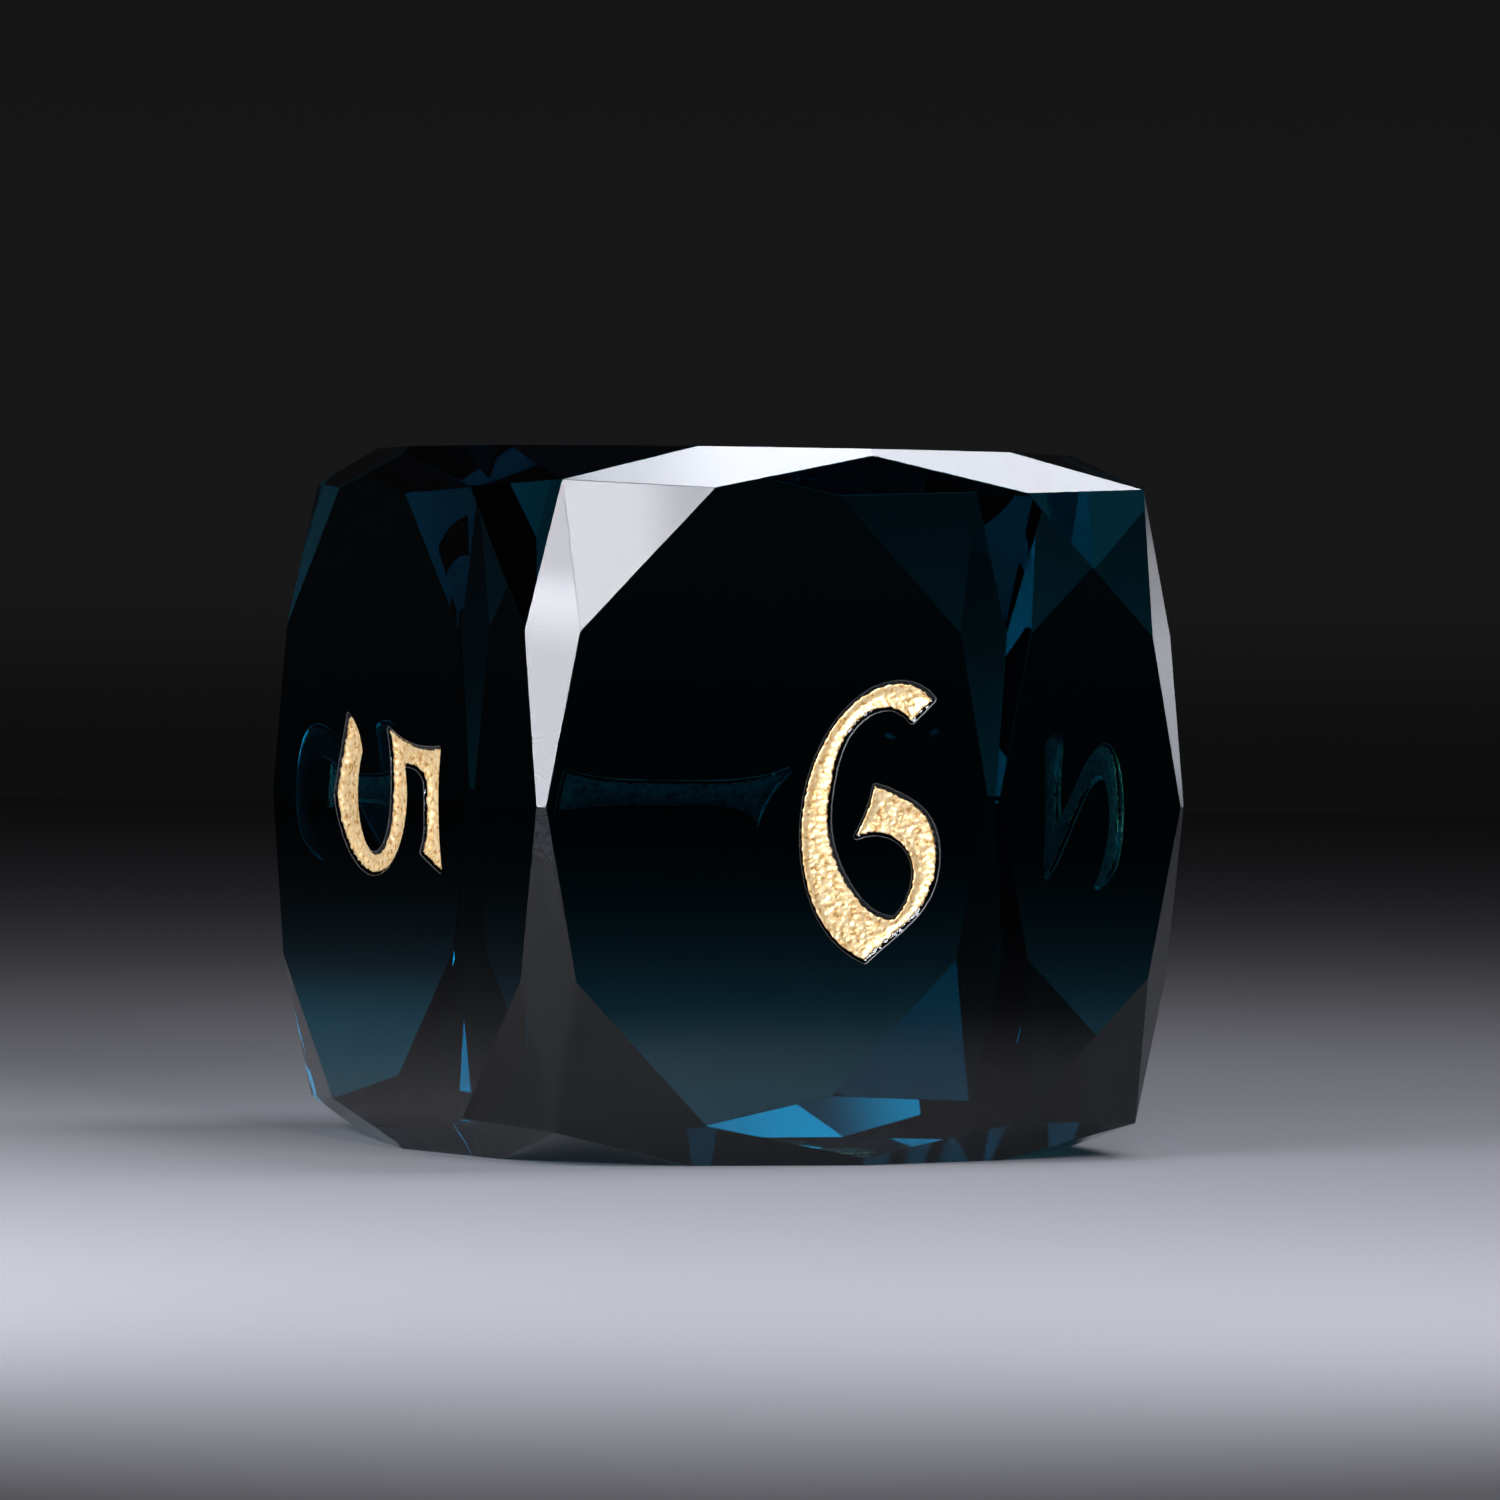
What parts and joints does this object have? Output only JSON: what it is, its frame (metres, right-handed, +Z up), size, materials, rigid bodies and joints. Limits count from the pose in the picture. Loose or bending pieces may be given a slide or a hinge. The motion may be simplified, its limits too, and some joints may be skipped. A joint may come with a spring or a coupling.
{
  "type": "polyhedral die",
  "caption": "Faceted glass six-sided die with engraved, gold-filled numerals on its flat faces.",
  "frame": {"origin": "centre of the resting face (the face with the 3); the die's centre is 8 mm above it", "axes": "+Z up through the face with the 4, -Y out of the face with the 6, -X out of the face with the 5"},
  "size_m": [0.016, 0.016, 0.016],
  "materials": {
    "glass": "polished, cut facets, dark teal-blue transparent glass",
    "gold_paint": "grainy metallic gold paint in the engraving"
  },
  "bodies": {
    "root": {"glass_body": "glass", "numeral_1": "gold_paint", "numeral_2": "gold_paint", "numeral_3": "gold_paint", "numeral_4": "gold_paint", "numeral_5": "gold_paint", "numeral_6": "gold_paint"}
  },
  "joints": []
}
